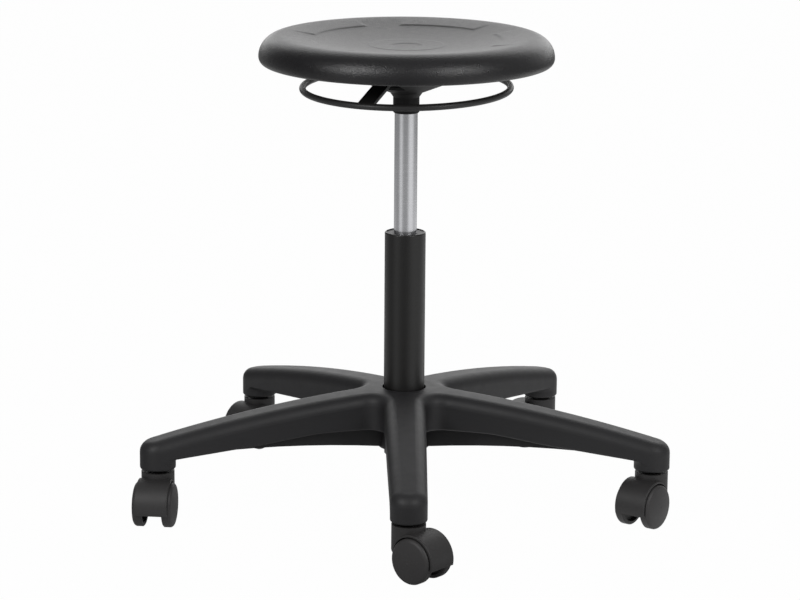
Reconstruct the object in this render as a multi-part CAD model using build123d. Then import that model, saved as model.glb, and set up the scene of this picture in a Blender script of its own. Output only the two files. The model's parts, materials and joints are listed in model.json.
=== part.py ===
from build123d import *

import os
from math import acos, atan2, cos, hypot, radians, sin, sqrt, tan

# Rolling stool. Millimetres, +Z up.
# The origin is on the floor, on the column's axis, and the front arm points along -Y.

# Fits
PRESS_GAP = 0.03
RUN_GAP = 0.06
SOFT_GAP = 0.3
SIDE_GAP = 0.3

# Casters
WHEEL_D = 54.0
WHEEL_W = 14.4
WHEEL_SPACING = 24.0
WHEEL_RIM = 4.0
WHEEL_HUB_D = 15.0
WHEEL_WEB = 3.2
WHEEL_DOME = 2.4
WHEEL_ROUND = 3.6
WHEEL_EDGE = 1.2
AXLE_D = 6.0
CASTER_TRAIL = 20.0
HOOD_W = 40.0
HOOD_SKIN = 2.6
HOOD_CLEARANCE = 1.5
HOOD_TAIL_Z = 20.5
HOOD_CHEST_Z = 36.0
HOOD_THROAT_Z = 31.0
HOOD_EDGE = 1.2
NECK_RISE = 37.0
AXLE_BOSS_D = 20.0
STEM_D = 11.0
STEM_FLANGE_D = 22.0
STEM_GRIP_L = 24.0
JOURNAL_D = 8.0
JOURNAL_L = 21.0
GRIP_RING_H = 4.0
GRIP_RING_T = 0.9
GRIP_RING_DEPTH = 5.0
SNAP_RING_H = 1.2
SNAP_RING_T = 1.6
SNAP_RING_DEPTH = 15.0
RING_SPLIT = 50.0
SWIVEL_GAP = 3.0
CASTER_HEADINGS = {
    "front": -41.0,
    "right": -126.0,
    "back_right": 179.0,
    "back_left": -128.0,
    "left": -98.0,
}

# Star base
ARM_COUNT = 5
STEM_CIRCLE_R = 313.7
ARM_W = 52.0
BOSS_D = 43.4
BOSS_EDGE = 2.5
BOSS_DROP = 12.0
BOSS_FLARE_R = 7.0
CROTCH_R = 20.0
SHOULDER_R = 14.0
HUB_LIFT = 2.0
HUB_H = 75.0
HUB_R = 31.0
HUB_FLAT_R = 40.0
HUB_MOUTH_D = 54.0
HUB_MOUTH_DEPTH = 4.0
ARM_FALL = 46.0
ARM_CROWN = 6.2
ARM_OVERRUN = 4.0
KEEL_START = 2.0
KEEL_RISE = 13.0
KEEL_APEX_R = 185.0
KEEL_T = 7.0
WALL_H = 45.0
WALL_FLAT_R = 120.0
WALL_TAIL_R = 190.0
WALL_RISE = 8.0
WALL_BEND_R = 250.0
WALL_LIP_R = 3.0
RECESS_R = 8.0
SHELL_WALL = 5.0
SHELL_TOP = 6.0
RIB_T = 4.0
RIB_RADII = (92.0, 138.0, 184.0, 230.0)

# Column
TUBE_D = 50.0
TUBE_WALL = 2.0
TUBE_EXPOSED = 195.0
TUBE_TAPER = 1.0
TUBE_FOOT = 9.0
TUBE_LIP = 5.0
TUBE_RIM_R = 1.6
PLATE_T = 5.0
BUSH_L = 100.0
BUSH_SINK = 1.0
RACE_D = 28.0
RACE_T = 2.0
BALL_D = 4.0
BALL_COUNT = 10
CAGE_T = 1.6
ROD_D = 10.0
ROD_FOOT_D = 8.0
WASHER_D = 18.0
WASHER_T = 1.5
CLIP_D = 15.0
CLIP_T = 1.2
CLIP_GROOVE = 0.8
ROD_TAIL = 1.5
BUFFER_D = 24.0
BUFFER_H = 18.0

# Gas spring
CYLINDER_D = 28.0
CYLINDER_WALL = 2.0
CYLINDER_EXPOSED = 147.0
CYLINDER_TOP_T = 3.0
STROKE = 130.0
BUFFER_ROOM = 3.0
CONE_DROP = 0.9
SOCKET_L = 38.0
ROD_GUIDE_L = 14.0
ROD_SEAL_L = 5.0
PISTON_L = 10.0
PISTON_REST = 6.0
PISTON_SEAL_W = 3.0
PISTON_SEAL_T = 1.6
ROD_CROWN = 3.0
VALVE_L = 34.0
VALVE_PIN_D = 6.0
VALVE_PIN_L = 30.0
VALVE_PIN_RISE = 7.0

# Seat mount and release lever
MOUNT_H = 60.2
SOCKET_D = 32.0
SOCKET_EDGE = 1.2
SOCKET_BARREL_D = 40.0
MOUNT_WALL = 3.0
DOME_START = 25.0
DOME_SLOPE = 21.8
PAN_R = 66.0
PAN_SIDE_R = 71.0
PLATE_R = 95.0
MOUNT_PLATE_T = 4.0
BOLT_SPACING = 120.0
LEVER_HEADING = -114.3
LEVER_DROOP = 1.8
LEVER_W = 20.0
LEVER_T = 4.0
LEVER_REACH = 24.0
LEVER_NOSE = 8.0
LEVER_BEND_R = 69.0
LEVER_SLOPE = 16.5
PIVOT_D = 5.0
PIVOT_SLEEVE_D = 9.0
PIVOT_SINK = 3.5
LUG_T = 4.0
LUG_L = 13.0
LUG_EDGE = 4.5
WINDOW_W = 32.0
WINDOW_R = 39.0
RING_R = 125.5
RING_WIRE_D = 8.0

# Seat
SEAT_D = 357.0
SEAT_T = 35.0
SEAT_WAIST_Z = 8.5
SEAT_LIP_R = 7.0
CREST_R = 147.0
DISH_DEPTH = 10.5
BOARD_D = 300.0
BOARD_T = 12.0
PAD_COUNT = 5
PAD_ANGLE = 67.9
PAD_SPAN = 50.0
PAD_INNER_R = 114.0
PAD_OUTER_R = 141.0
PAD_H = 1.5
CENTRE_OUTER_R = 46.0
CENTRE_INNER_R = 18.0
SCREW_D = 6.0
SCREW_L = 14.0
SCREW_HEAD_D = 11.0
SCREW_HEAD_H = 3.4
HEX_KEY = 4.0
HEX_DEPTH = 2.0
SEAT_WASHER_D = 14.0
SEAT_WASHER_T = 1.4
INSERT_D = 10.0

# Heights, from the floor up
AXLE_Z = WHEEL_D / 2
NECK_TOP = AXLE_Z + NECK_RISE
BOSS_BOTTOM = NECK_TOP + SWIVEL_GAP
HUB_BOTTOM = BOSS_BOTTOM + HUB_LIFT
HUB_TOP = HUB_BOTTOM + HUB_H
WALL_BOTTOM = HUB_TOP - WALL_H
TUBE_BOTTOM = HUB_BOTTOM - TUBE_FOOT
TUBE_TOP = HUB_TOP + TUBE_EXPOSED
SOCKET_BOTTOM = TUBE_TOP + CYLINDER_EXPOSED
SEAT_BOTTOM = SOCKET_BOTTOM + MOUNT_H
PLATE_BOTTOM = TUBE_BOTTOM + TUBE_WALL
LOWER_RACE_Z = PLATE_BOTTOM + PLATE_T
BALL_Z = LOWER_RACE_Z + RACE_T + BALL_D / 2
UPPER_RACE_Z = BALL_Z + BALL_D / 2
ROD_SHOULDER_Z = UPPER_RACE_Z + RACE_T
CYLINDER_BOTTOM = ROD_SHOULDER_Z + BUFFER_H + BUFFER_ROOM + STROKE
CYLINDER_TOP = SOCKET_BOTTOM + SOCKET_L
PISTON_Z = CYLINDER_BOTTOM + CYLINDER_WALL + ROD_GUIDE_L + ROD_SEAL_L + PISTON_REST
ROD_TOP = PISTON_Z + PISTON_L + ROD_CROWN
VALVE_TOP = CYLINDER_TOP - CYLINDER_TOP_T
LEVER_BOTTOM = CYLINDER_TOP + VALVE_PIN_RISE + SIDE_GAP - LEVER_REACH * sin(radians(LEVER_DROOP))
LEVER_Z = LEVER_BOTTOM + LEVER_T / 2
PIVOT_Z = LEVER_BOTTOM - PIVOT_SINK

# Other worked-out sizes
TUBE_R = TUBE_D / 2
TUBE_BORE_R = TUBE_R - TUBE_WALL
CYLINDER_R = CYLINDER_D / 2
CYLINDER_BORE_R = CYLINDER_R - CYLINDER_WALL
WHEEL_R = WHEEL_D / 2
WHEEL_FACE_Y = WHEEL_SPACING / 2
WELL_R = WHEEL_R + HOOD_CLEARANCE
FENDER_R = WELL_R + HOOD_SKIN
SEAT_R = SEAT_D / 2
ARM_STEP = 360 / ARM_COUNT
ARM_ANGLES = [-90 + ARM_STEP * k for k in range(ARM_COUNT)]
ARM_END_R = STEM_CIRCLE_R + BOSS_D / 2 + ARM_OVERRUN
BOLT_SIGNS = [(x, y) for x in (-1, 1) for y in (-1, 1)]


def face_of(*edges):
    """A flat face on the upright XZ plane, from edges drawn as (radius or x, height)."""
    return make_face((Plane.XZ * (Curve() + list(edges))).edges())


def turned(*corners):
    """A solid of revolution about Z, from the corners (radius, height) of its half section."""
    return revolve(face_of(Polyline(*corners, close=True)), Axis.Z)


def ring(inner_r, outer_r, low, high):
    """A plain ring, washer or sleeve about Z."""
    return turned((inner_r, low), (outer_r, low), (outer_r, high), (inner_r, high))


def rod(radius, low, high):
    """A plain round bar about Z."""
    return turned((0, low), (radius, low), (radius, high), (0, high))


def across(radius, half_width, x, z):
    """A round bar along Y at (x, z)."""
    return Pos(x, 0, z) * Rot(90, 0, 0) * Cylinder(radius, 2 * half_width)


def split(shape, gap, reach):
    """A ring with a gap of some degrees cut out of it, as a spring ring has."""
    half = reach * tan(radians(gap / 2))
    wedge = make_face(Polyline((0, 0), (reach, -half), (reach, half), close=True).edges())
    return shape - extrude(wedge, ARM_END_R)


def arch(start, middle, end):
    """The height at a radius of the arc that rises through three points."""
    arc = ThreePointArc(start, middle, end)
    centre = arc.arc_center
    return lambda r: centre.Y + sqrt(arc.radius**2 - (r - centre.X) ** 2)


# Star base

ARM_MID_R = (HUB_FLAT_R + ARM_END_R) / 2
ARM_TOP_START = (HUB_FLAT_R, HUB_TOP)
ARM_TOP_MIDDLE = (ARM_MID_R, HUB_TOP - ARM_FALL / 2 + ARM_CROWN)
ARM_TOP_END = (ARM_END_R, HUB_TOP - ARM_FALL)
KEEL_HUB_END = (HUB_R, HUB_BOTTOM + KEEL_START)
KEEL_APEX = (KEEL_APEX_R, HUB_BOTTOM + KEEL_RISE)
KEEL_BOSS_END = (STEM_CIRCLE_R, BOSS_BOTTOM + BOSS_DROP)
arm_top = arch(ARM_TOP_START, ARM_TOP_MIDDLE, ARM_TOP_END)
keel_low = arch(KEEL_HUB_END, KEEL_APEX, KEEL_BOSS_END)
WALL_TAIL_Z = keel_low(WALL_TAIL_R) + WALL_RISE


def star_plan():
    """The five arms seen from above, with round tips about the stems and rounded inner corners."""
    half = ARM_W / 2
    tip = BOSS_D / 2
    lean = acos(tip / hypot(half, STEM_CIRCLE_R)) - atan2(STEM_CIRCLE_R, half)
    touch = (STEM_CIRCLE_R + tip * sin(lean), tip * cos(lean))
    sides = Polyline((0, -half), (touch[0], -touch[1]), touch, (0, half), close=True)
    arm = make_face(sides.edges()) + Pos(STEM_CIRCLE_R, 0) * Circle(tip)
    star = Sketch() + [Rot(0, 0, angle) * arm for angle in ARM_ANGLES]
    corners = [v for v in star.vertices() if hypot(v.X, v.Y) < STEM_CIRCLE_R / 2]
    return fillet(corners, CROTCH_R)


def arm_section():
    """Half section of the arms, turned about the column: hub barrel, arched walls and falling top."""
    tip = KEEL_BOSS_END
    inner = (HUB_R, WALL_BOTTOM - RECESS_R)
    outer = (HUB_R + RECESS_R, WALL_BOTTOM)
    bends = (WALL_FLAT_R, WALL_BOTTOM), (WALL_TAIL_R, WALL_TAIL_Z)
    return face_of(
        Polyline((0, HUB_TOP), (0, HUB_BOTTOM), (HUB_R, HUB_BOTTOM), inner),
        TangentArc(inner, outer, tangent=(0, 1)),
        FilletPolyline(outer, *bends, tip, radius=WALL_BEND_R),
        Polyline(tip, (ARM_END_R, tip[1]), ARM_TOP_END),
        ThreePointArc(ARM_TOP_END, ARM_TOP_MIDDLE, ARM_TOP_START),
        Line(ARM_TOP_START, (0, HUB_TOP)),
    )


def arm_pockets(plan):
    """The pockets under the arms: open below, between the shell, the keel and the cross ribs."""
    starts = [HUB_R + RECESS_R] + [r + RIB_T / 2 for r in RIB_RADII]
    ends = [r - RIB_T / 2 for r in RIB_RADII] + [STEM_CIRCLE_R - BOSS_D / 2 - RIB_T]
    rings = [
        turned((a, 0), (b, 0), (b, arm_top(b) - SHELL_TOP), (a, arm_top(a) - SHELL_TOP))
        for a, b in zip(starts, ends)
    ]
    rib = Pos(ARM_END_R / 2, 0, 0) * Box(ARM_END_R, KEEL_T, 2 * HUB_TOP)
    keels = [Rot(0, 0, angle) * rib for angle in ARM_ANGLES]
    return (Part() + rings) & extrude(offset(plan, -SHELL_WALL), HUB_TOP) - keels


def keel():
    """The rib along the middle of an arm, which hangs below the walls beside the hub."""
    low_start = (HUB_R - RECESS_R, KEEL_HUB_END[1])
    high_end = (STEM_CIRCLE_R, arm_top(STEM_CIRCLE_R) - SHOULDER_R)
    side = face_of(
        Line(low_start, KEEL_HUB_END),
        ThreePointArc(KEEL_HUB_END, KEEL_APEX, KEEL_BOSS_END),
        Polyline(KEEL_BOSS_END, high_end, (low_start[0], HUB_TOP - SHOULDER_R), low_start),
    )
    return extrude(side, KEEL_T / 2, both=True)


def boss_flare():
    """The rounded hollow where an arm's underside runs into its boss."""
    low_z = KEEL_BOSS_END[1] - BOSS_FLARE_R / 2
    high_z = low_z + BOSS_FLARE_R
    boss_r = BOSS_D / 2
    wide_r = boss_r + BOSS_FLARE_R
    return revolve(
        face_of(
            Polyline((wide_r, high_z), (0, high_z), (0, low_z), (boss_r, low_z)),
            TangentArc((boss_r, low_z), (wide_r, high_z), tangent=(0, 1)),
        ),
        Axis.Z,
    )


def star_base():
    """Five hollow arms, the hub with its tapered bore, and the bosses with the stem sockets."""
    plan = star_plan()
    body = extrude(plan, HUB_TOP + ARM_OVERRUN) & revolve(arm_section(), Axis.Z)

    def on_top(edge):
        middle = edge @ 0.5
        r = hypot(middle.X, middle.Y)
        return r > HUB_FLAT_R + PRESS_GAP and abs(middle.Z - arm_top(r)) < PRESS_GAP

    def on_lip(edge):
        start = edge @ 0
        middle = edge @ 0.5
        r = hypot(middle.X, middle.Y)
        runs_out = abs(r - hypot(start.X, start.Y)) > PRESS_GAP
        return runs_out and middle.Z < min(WALL_BOTTOM, arm_top(r) - SHOULDER_R) + PRESS_GAP

    body = fillet(body.edges().filter_by(on_top), SHOULDER_R)
    body = fillet(body.edges().filter_by(on_lip), WALL_LIP_R)
    boss = rod(BOSS_D / 2, BOSS_BOTTOM, KEEL_BOSS_END[1] + 2 * WALL_LIP_R)
    boss = fillet(boss.edges().sort_by(Axis.Z)[0], BOSS_EDGE)
    body -= arm_pockets(plan)
    socket = rod(STEM_D / 2 + PRESS_GAP, BOSS_BOTTOM, BOSS_BOTTOM + STEM_GRIP_L)
    arms = [Rot(0, 0, angle) for angle in ARM_ANGLES]
    at_stem = [turn * Pos(STEM_CIRCLE_R, 0, 0) for turn in arms]
    flares = [place * boss_flare() & extrude(plan, HUB_TOP) for place in at_stem]
    body += [place * boss for place in at_stem] + flares + [turn * keel() for turn in arms]
    body -= [place * socket for place in at_stem]
    mouth = HUB_TOP - HUB_MOUTH_DEPTH
    low = HUB_BOTTOM - TUBE_FOOT
    bore = turned(
        (0, low),
        (tube_outer(low) + PRESS_GAP, low),
        (tube_outer(mouth) + PRESS_GAP, mouth),
        (HUB_MOUTH_D / 2, mouth),
        (HUB_MOUTH_D / 2, HUB_TOP),
        (0, HUB_TOP),
    )
    return body - bore


# Column

def tube_outer(z):
    """Outside radius of the column tube, which narrows inside the hub."""
    share = max(0.0, (HUB_TOP - HUB_MOUTH_DEPTH - z) / (HUB_TOP - HUB_MOUTH_DEPTH - TUBE_BOTTOM))
    return TUBE_R - TUBE_TAPER * share


def column_tube():
    """Black outer tube: tapered foot, lip under the end plate, and a rim rolled in over the bush."""
    taper_z = HUB_TOP - HUB_MOUTH_DEPTH
    foot = tube_outer(TUBE_BOTTOM)
    rim = TUBE_TOP - TUBE_RIM_R
    lip_r = foot - TUBE_WALL - TUBE_LIP
    outside = Polyline((lip_r, TUBE_BOTTOM), (foot, TUBE_BOTTOM), (TUBE_R, taper_z), (TUBE_R, rim))
    rolled = TangentArc((TUBE_R, rim), (TUBE_R - TUBE_RIM_R, TUBE_TOP), tangent=(0, 1))
    inside = Polyline(
        (TUBE_R - TUBE_RIM_R, TUBE_TOP),
        (TUBE_BORE_R, TUBE_TOP),
        (TUBE_BORE_R, taper_z),
        (foot - TUBE_WALL, PLATE_BOTTOM),
        (lip_r, PLATE_BOTTOM),
        (lip_r, TUBE_BOTTOM),
    )
    return revolve(face_of(outside, rolled, inside), Axis.Z)


def end_plate():
    """Steel disc at the foot of the tube, which carries the bearing."""
    edge = tube_outer(TUBE_BOTTOM) - TUBE_WALL - PRESS_GAP
    return ring(ROD_FOOT_D / 2 + RUN_GAP, edge, PLATE_BOTTOM, LOWER_RACE_Z)


def guide_bush():
    """Plastic sleeve that guides the gas cylinder in the tube."""
    top = TUBE_TOP - BUSH_SINK
    return ring(CYLINDER_R + RUN_GAP, TUBE_BORE_R - PRESS_GAP, top - BUSH_L, top)


def race(low, bore_gap):
    """One washer of the thrust bearing."""
    return ring(ROD_FOOT_D / 2 + bore_gap, RACE_D / 2, low, low + RACE_T)


BALL_CIRCLE_R = (ROD_FOOT_D / 2 + RACE_D / 2) / 2
BALL_ANGLES = [360 * k / BALL_COUNT for k in range(BALL_COUNT)]
BALL_PLACES = [Rot(0, 0, angle) * Pos(BALL_CIRCLE_R, 0, BALL_Z) for angle in BALL_ANGLES]


def bearing_cage():
    """Plate with a pocket for each ball."""
    inner = ROD_FOOT_D / 2 + RUN_GAP + SIDE_GAP
    plate = ring(inner, RACE_D / 2, BALL_Z - CAGE_T / 2, BALL_Z + CAGE_T / 2)
    pocket = Cylinder(BALL_D / 2 + RUN_GAP, 2 * CAGE_T)
    return plate - [place * pocket for place in BALL_PLACES]


def bearing_balls():
    """The balls of the thrust bearing, free between the races."""
    return Compound(children=[place * Sphere(BALL_D / 2 - RUN_GAP / 2) for place in BALL_PLACES])


WASHER_Z = PLATE_BOTTOM - RUN_GAP - WASHER_T
CLIP_Z = WASHER_Z - CLIP_T


def rod_washer():
    """Washer between the end plate and the clip."""
    return ring(ROD_FOOT_D / 2 + RUN_GAP, WASHER_D / 2, WASHER_Z, WASHER_Z + WASHER_T)


def retaining_clip():
    """Open spring clip in the groove at the foot of the piston rod."""
    clip = ring(ROD_FOOT_D / 2 - CLIP_GROOVE, CLIP_D / 2, CLIP_Z, CLIP_Z + CLIP_T)
    return split(clip, RING_SPLIT, CLIP_D)


def rubber_buffer():
    """Ribbed rubber stop on the upper race, under the cylinder's foot."""
    low = ROD_SHOULDER_Z
    waist = (BUFFER_D + ROD_D) / 4 + ROD_D / 8
    inner = ROD_D / 2 + RUN_GAP
    third = BUFFER_H / 3
    return turned(
        (inner, low),
        (BUFFER_D / 2, low),
        (BUFFER_D / 2, low + third),
        (waist, low + 1.5 * third),
        (BUFFER_D / 2, low + 2 * third),
        (BUFFER_D / 2, low + BUFFER_H),
        (inner, low + BUFFER_H),
    )


# Gas spring

def piston_rod():
    """Rod with its journal through the bearing and a groove for the clip."""
    foot = ROD_FOOT_D / 2
    groove = foot - CLIP_GROOVE
    tail = CLIP_Z - ROD_TAIL
    return turned(
        (0, tail),
        (foot, tail),
        (foot, CLIP_Z),
        (groove, CLIP_Z),
        (groove, CLIP_Z + CLIP_T),
        (foot, CLIP_Z + CLIP_T),
        (foot, ROD_SHOULDER_Z),
        (ROD_D / 2, ROD_SHOULDER_Z),
        (ROD_D / 2, ROD_TOP),
        (0, ROD_TOP),
    )


def piston():
    """Piston on the rod, with the groove of its seal."""
    edge = CYLINDER_BORE_R - RUN_GAP
    groove = edge - PISTON_SEAL_T
    middle = PISTON_Z + PISTON_L / 2
    half = PISTON_SEAL_W / 2
    inner = ROD_D / 2 + PRESS_GAP
    return turned(
        (inner, PISTON_Z),
        (edge, PISTON_Z),
        (edge, middle - half),
        (groove, middle - half),
        (groove, middle + half),
        (edge, middle + half),
        (edge, PISTON_Z + PISTON_L),
        (inner, PISTON_Z + PISTON_L),
    )


def piston_seal():
    """Seal ring in the piston's groove."""
    middle = PISTON_Z + PISTON_L / 2
    half = PISTON_SEAL_W / 2 - PRESS_GAP
    edge = CYLINDER_BORE_R - RUN_GAP
    return ring(edge - PISTON_SEAL_T + PRESS_GAP, edge, middle - half, middle + half)


def cone_r(z):
    """Outside radius of the cylinder, whose top narrows into the socket."""
    return CYLINDER_R - CONE_DROP * max(0.0, z - SOCKET_BOTTOM) / SOCKET_L


def gas_cylinder():
    """Pressure tube, rolled in at its foot, closed at its tapered top but for the valve pin."""
    bore = CYLINDER_BORE_R
    pin_hole = VALVE_PIN_D / 2 + RUN_GAP
    rod_hole = ROD_D / 2 + SIDE_GAP
    top_r = cone_r(CYLINDER_TOP)
    return turned(
        (rod_hole, CYLINDER_BOTTOM),
        (CYLINDER_R, CYLINDER_BOTTOM),
        (CYLINDER_R, SOCKET_BOTTOM),
        (top_r, CYLINDER_TOP),
        (pin_hole, CYLINDER_TOP),
        (pin_hole, VALVE_TOP),
        (bore - CONE_DROP, VALVE_TOP),
        (bore - CONE_DROP, SOCKET_BOTTOM),
        (bore, SOCKET_BOTTOM - CYLINDER_WALL),
        (bore, CYLINDER_BOTTOM + CYLINDER_WALL),
        (rod_hole, CYLINDER_BOTTOM + CYLINDER_WALL),
    )


def rod_guide():
    """Bush that guides the rod at the cylinder's foot."""
    low = CYLINDER_BOTTOM + CYLINDER_WALL
    return ring(ROD_D / 2 + RUN_GAP, CYLINDER_BORE_R - PRESS_GAP, low, low + ROD_GUIDE_L)


def rod_seal():
    """Lip seal on top of the rod guide."""
    low = CYLINDER_BOTTOM + CYLINDER_WALL + ROD_GUIDE_L
    return ring(ROD_D / 2 + RUN_GAP, CYLINDER_BORE_R - PRESS_GAP, low, low + ROD_SEAL_L)


def valve_body():
    """Plug in the cylinder's top, bored for the valve pin."""
    low = VALVE_TOP - VALVE_L
    return ring(VALVE_PIN_D / 2 + RUN_GAP, CYLINDER_BORE_R - CONE_DROP - PRESS_GAP, low, VALVE_TOP)


def valve_pin():
    """Release pin that the lever presses down."""
    top = CYLINDER_TOP + VALVE_PIN_RISE
    return rod(VALVE_PIN_D / 2, top - VALVE_PIN_L, top)


# Seat mount and release lever, drawn with the lever along +X

DOME_Z = SOCKET_BOTTOM + DOME_START
PLATE_Z = SEAT_BOTTOM - MOUNT_PLATE_T
LEVER_AXIS = Axis((LEVER_REACH, 0, PIVOT_Z), (0, 1, 0))


def dome_z(r):
    """Height of the mount's underside at a radius."""
    return DOME_Z + (r - SOCKET_BARREL_D / 2) * tan(radians(DOME_SLOPE))


def seat_mount():
    """Domed pan with a tapered socket, a window for the lever and two pivot lugs."""
    socket_r = SOCKET_D / 2
    barrel_r = SOCKET_BARREL_D / 2
    inside_r = PAN_SIDE_R - MOUNT_WALL
    shell = turned(
        (cone_r(SOCKET_BOTTOM) + PRESS_GAP, SOCKET_BOTTOM),
        (socket_r - SOCKET_EDGE, SOCKET_BOTTOM),
        (socket_r, SOCKET_BOTTOM + SOCKET_EDGE),
        (socket_r, dome_z(socket_r) - (barrel_r - socket_r)),
        (barrel_r, dome_z(barrel_r)),
        (PAN_R, dome_z(PAN_R)),
        (PAN_SIDE_R, dome_z(PAN_R) + 2 * MOUNT_WALL),
        (PAN_SIDE_R, PLATE_Z),
        (inside_r, PLATE_Z),
        (inside_r, dome_z(PAN_R) + 2.5 * MOUNT_WALL),
        (PAN_R - MOUNT_WALL, dome_z(PAN_R) + MOUNT_WALL),
        (barrel_r, dome_z(barrel_r) + MOUNT_WALL),
        (barrel_r, CYLINDER_TOP),
        (cone_r(CYLINDER_TOP) + PRESS_GAP, CYLINDER_TOP),
    )
    floor = MOUNT_WALL / 2
    room = turned(
        (barrel_r - floor, dome_z(barrel_r) + floor),
        (PAN_R, dome_z(PAN_R) + floor),
        (PAN_R, PIVOT_Z + LUG_EDGE),
        (barrel_r - floor, PIVOT_Z + LUG_EDGE),
    )
    lug_y = LEVER_W / 2 + SIDE_GAP + LUG_T / 2
    lug = room & Pos(LEVER_REACH, lug_y, PIVOT_Z) * Box(LUG_L, LUG_T, MOUNT_H)
    body = shell + [lug, mirror(lug, Plane.XZ)]
    body -= across(PIVOT_D / 2 + PRESS_GAP, LEVER_W, LEVER_REACH, PIVOT_Z)
    window_l = PAN_SIDE_R + MOUNT_WALL - WINDOW_R
    window = Box(window_l, WINDOW_W, PLATE_Z - DOME_Z)
    return body - Pos(WINDOW_R + window_l / 2, 0, (PLATE_Z + DOME_Z) / 2) * window


def mount_plate():
    """Round plate on the pan's rim, which the screws hold against the seat board."""
    hole = rod(SCREW_D / 2 + SIDE_GAP, PLATE_Z, SEAT_BOTTOM)
    return rod(PLATE_R, PLATE_Z, SEAT_BOTTOM) - [place * hole for place in bolt_places()]


def bolt_places():
    """The four screws' places, square to the lever."""
    half = BOLT_SPACING / 2
    return [Pos(half * x, half * y, 0) for x, y in BOLT_SIGNS]


def lever_pivot_pin():
    """Pin across the two lugs."""
    return across(PIVOT_D / 2, LEVER_W / 2 + SIDE_GAP + LUG_T, LEVER_REACH, PIVOT_Z)


def drooped(shape):
    """The lever's pieces hang a little below level, turned about the pivot."""
    return shape.rotate(LEVER_AXIS, LEVER_DROOP)


RING_Z = LEVER_Z - (RING_R - LEVER_BEND_R) * tan(radians(LEVER_SLOPE))


def ring_wire(radius):
    """The ring's wire, or a larger one to cut with."""
    return Pos(0, 0, RING_Z) * Torus(RING_R, radius)


def release_ring():
    """Wire ring below the seat, which a hand lifts anywhere near the strap."""
    return drooped(ring_wire(RING_WIRE_D / 2))


def release_strap():
    """Bent flat bar from over the valve pin, through its pivot sleeve, down to the ring."""
    bend = (LEVER_BEND_R, LEVER_Z)
    line = Plane.XZ * FilletPolyline((-LEVER_NOSE, LEVER_Z), bend, (RING_R, RING_Z), radius=3 * LEVER_T)
    bar = sweep(Plane(origin=line @ 0, z_dir=line % 0) * Rectangle(LEVER_T, LEVER_W), path=line)
    sleeve = across(PIVOT_SLEEVE_D / 2, LEVER_W / 2, LEVER_REACH, PIVOT_Z)
    bore = across(PIVOT_D / 2 + RUN_GAP, LEVER_W, LEVER_REACH, PIVOT_Z)
    return drooped(bar + sleeve - bore - ring_wire(RING_WIRE_D / 2 + PRESS_GAP))


# Seat

SEAT_CREST = SEAT_BOTTOM + SEAT_T
DISH_CENTRE = SEAT_CREST - DISH_DEPTH


def dish_curve():
    """The seat's top from its centre to the crest, level at both ends."""
    return Spline((0, DISH_CENTRE), (CREST_R, SEAT_CREST), tangents=[(1, 0), (1, 0)])


def seat_blank(top_offset):
    """The foam's outer form with its dish raised by an offset."""
    waist = SEAT_BOTTOM + SEAT_WAIST_Z
    lip = SEAT_R - SEAT_LIP_R
    corner = SEAT_CREST + top_offset
    dish = Pos(0, top_offset) * dish_curve()
    return revolve(
        face_of(
            Polyline((0, DISH_CENTRE + top_offset), (0, SEAT_BOTTOM), (lip, SEAT_BOTTOM)),
            EllipticalCenterArc((lip, waist), SEAT_LIP_R, SEAT_WAIST_Z, start_angle=-90, arc_size=90),
            EllipticalCenterArc((CREST_R, waist), SEAT_R - CREST_R, corner - waist, start_angle=0, arc_size=90),
            dish,
        ),
        Axis.Z,
    )


def seat_cushion():
    """Round foam with a full rim, a dish, raised pads, a raised ring in the middle and a board pocket."""
    raised = seat_blank(PAD_H)
    tall = SEAT_T + PAD_H
    band = ring(PAD_INNER_R, PAD_OUTER_R, SEAT_BOTTOM, SEAT_BOTTOM + tall)
    half = 2 * PAD_OUTER_R * tan(radians(PAD_SPAN / 2))
    reach = 2 * PAD_OUTER_R
    sector = make_face(Polyline((0, 0), (reach, -half), (reach, half), close=True).edges())
    pad = band & extrude(sector, SEAT_CREST + PAD_H)
    pads = [Rot(0, 0, PAD_ANGLE + 360 * k / PAD_COUNT) * pad for k in range(PAD_COUNT)]
    centre = ring(CENTRE_INNER_R, CENTRE_OUTER_R, SEAT_BOTTOM, SEAT_BOTTOM + tall)
    relief = [raised & piece for piece in pads + [centre]]
    pocket = rod(BOARD_D / 2 + SOFT_GAP, SEAT_BOTTOM, SEAT_BOTTOM + BOARD_T)
    return seat_blank(0) + relief - pocket


def seat_board():
    """Stiff board in the foam, with holes for the threaded inserts."""
    hole = Circle(INSERT_D / 2 + PRESS_GAP)
    outline = Circle(BOARD_D / 2) - [place * hole for place in bolt_places()]
    return Pos(0, 0, SEAT_BOTTOM) * extrude(outline, BOARD_T)


SCREW_SEAT_Z = PLATE_Z - SEAT_WASHER_T


def threaded_insert():
    """Threaded insert in the board."""
    return ring(SCREW_D / 2 + PRESS_GAP, INSERT_D / 2, SEAT_BOTTOM, SEAT_BOTTOM + BOARD_T)


def seat_washer():
    """Washer under a screw's head."""
    return ring(SCREW_D / 2 + PRESS_GAP, SEAT_WASHER_D / 2, SCREW_SEAT_Z, SCREW_SEAT_Z + SEAT_WASHER_T)


def seat_screw():
    """Button-head screw with a hexagon socket."""
    head = turned(
        (0, SCREW_SEAT_Z),
        (SCREW_HEAD_D / 2, SCREW_SEAT_Z),
        (SCREW_HEAD_D / 3, SCREW_SEAT_Z - SCREW_HEAD_H),
        (0, SCREW_SEAT_Z - SCREW_HEAD_H),
    )
    shank = rod(SCREW_D / 2, SCREW_SEAT_Z, SCREW_SEAT_Z + SCREW_L)
    key = extrude(RegularPolygon(HEX_KEY / 2, 6, major_radius=False), HEX_DEPTH)
    return head + shank - Pos(0, 0, SCREW_SEAT_Z - SCREW_HEAD_H) * key


def at_bolts(shape):
    """Four copies of a fastener as one group."""
    return Compound(children=[place * shape for place in bolt_places()])


# Casters, drawn with the stem on Z and the wheels trailing along +X

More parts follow.
